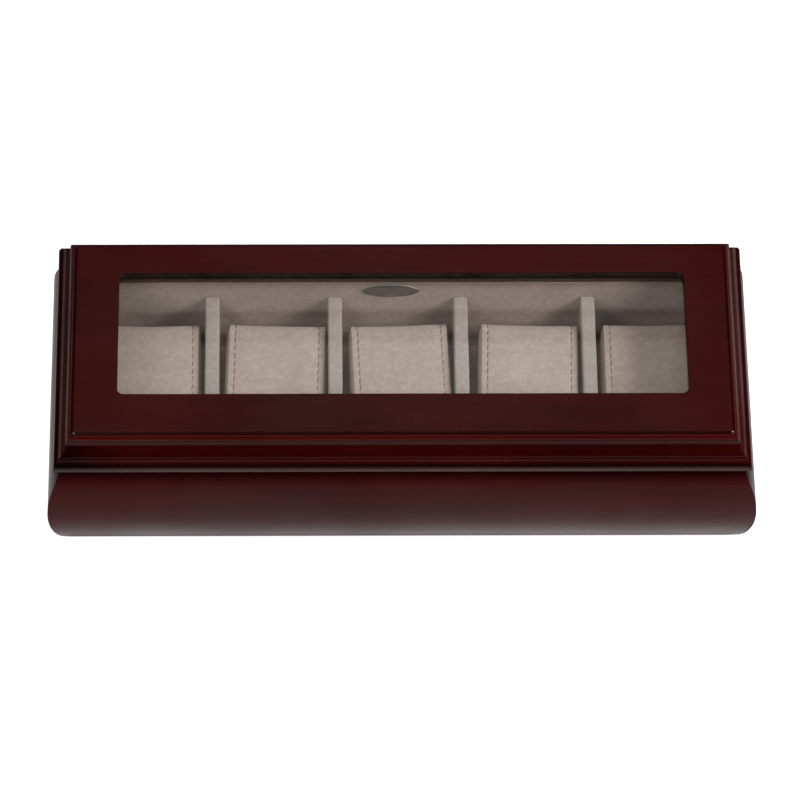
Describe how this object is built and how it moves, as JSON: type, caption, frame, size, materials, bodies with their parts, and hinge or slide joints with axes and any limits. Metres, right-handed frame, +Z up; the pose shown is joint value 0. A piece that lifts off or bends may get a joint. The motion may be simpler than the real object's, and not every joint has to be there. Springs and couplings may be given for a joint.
{
  "type": "watch display box",
  "caption": "Lacquered wooden watch display box with bulged sides, a stepped glass-window lid on back hinges, suede lining and dividers, and lift-out watch pillows.",
  "frame": {"origin": "centre of the bottom of the closed box, on the surface it stands on", "axes": "+X to the right along the box's length, +Y to the back where the hinges are, +Z up"},
  "size_m": [0.3428, 0.1402, 0.0815],
  "materials": {
    "lacquered_wood": "very dark red mahogany stain under satin-gloss lacquer",
    "bottom_board": "plain plywood",
    "core_board": "raw fibreboard",
    "felt": "dark felt",
    "suede_lining": "beige suede cloth on card",
    "suede_pillow": "beige suede cloth, brown stitching",
    "foam": "soft foam",
    "glass": "clear float glass",
    "hinge_brass": "aged brass",
    "screw_brass": "brass wood screws",
    "plate_metal": "dark antiqued metal, blank"
  },
  "bodies": {
    "base": {"base_felt": "felt", "base_wall_back": "lacquered_wood", "base_wall_front": "lacquered_wood", "base_wall_left": "lacquered_wood", "base_wall_right": "lacquered_wood", "bottom_board": "bottom_board", "divider_1_board": "core_board", "divider_1_cover": "suede_lining", "divider_2_board": "core_board", "divider_2_cover": "suede_lining", "divider_3_board": "core_board", "divider_3_cover": "suede_lining", "divider_4_board": "core_board", "divider_4_cover": "suede_lining", "left_hinge_base_leaf": "hinge_brass", "left_hinge_base_screws": "screw_brass", "left_hinge_pin": "hinge_brass", "lining_back": "suede_lining", "lining_floor": "suede_lining", "lining_front": "suede_lining", "lining_left": "suede_lining", "lining_right": "suede_lining", "oval_plate": "plate_metal", "right_hinge_base_leaf": "hinge_brass", "right_hinge_base_screws": "screw_brass", "right_hinge_pin": "hinge_brass"},
    "lid": {"glass_pane": "glass", "glazing_bead_back": "lacquered_wood", "glazing_bead_front": "lacquered_wood", "glazing_bead_left": "lacquered_wood", "glazing_bead_right": "lacquered_wood", "left_hinge_lid_leaf": "hinge_brass", "left_hinge_lid_screws": "screw_brass", "lid_moulding_back": "lacquered_wood", "lid_moulding_front": "lacquered_wood", "lid_moulding_left": "lacquered_wood", "lid_moulding_right": "lacquered_wood", "lid_panel": "lacquered_wood", "right_hinge_lid_leaf": "hinge_brass", "right_hinge_lid_screws": "screw_brass"},
    "pillow_1": {"pillow_1_end_panels": "suede_pillow", "pillow_1_foam": "foam", "pillow_1_sleeve": "suede_pillow"},
    "pillow_2": {"pillow_2_end_panels": "suede_pillow", "pillow_2_foam": "foam", "pillow_2_sleeve": "suede_pillow"},
    "pillow_3": {"pillow_3_end_panels": "suede_pillow", "pillow_3_foam": "foam", "pillow_3_sleeve": "suede_pillow"},
    "pillow_4": {"pillow_4_end_panels": "suede_pillow", "pillow_4_foam": "foam", "pillow_4_sleeve": "suede_pillow"},
    "pillow_5": {"pillow_5_end_panels": "suede_pillow", "pillow_5_foam": "foam", "pillow_5_sleeve": "suede_pillow"}
  },
  "joints": [
    {"name": "lid_hinge", "type": "hinge", "parent": "base", "child": "lid", "pos_m": [0, 0.0669, 0.06205], "axis": [-1, 0, 0], "range_deg": [0, 100]},
    {"name": "pillow_1_lift", "type": "slide", "parent": "base", "child": "pillow_1", "axis": [0, 0, 1], "range_m": [0, 0.022]},
    {"name": "pillow_2_lift", "type": "slide", "parent": "base", "child": "pillow_2", "axis": [0, 0, 1], "range_m": [0, 0.022]},
    {"name": "pillow_3_lift", "type": "slide", "parent": "base", "child": "pillow_3", "axis": [0, 0, 1], "range_m": [0, 0.022]},
    {"name": "pillow_4_lift", "type": "slide", "parent": "base", "child": "pillow_4", "axis": [0, 0, 1], "range_m": [0, 0.022]},
    {"name": "pillow_5_lift", "type": "slide", "parent": "base", "child": "pillow_5", "axis": [0, 0, 1], "range_m": [0, 0.022]}
  ]
}
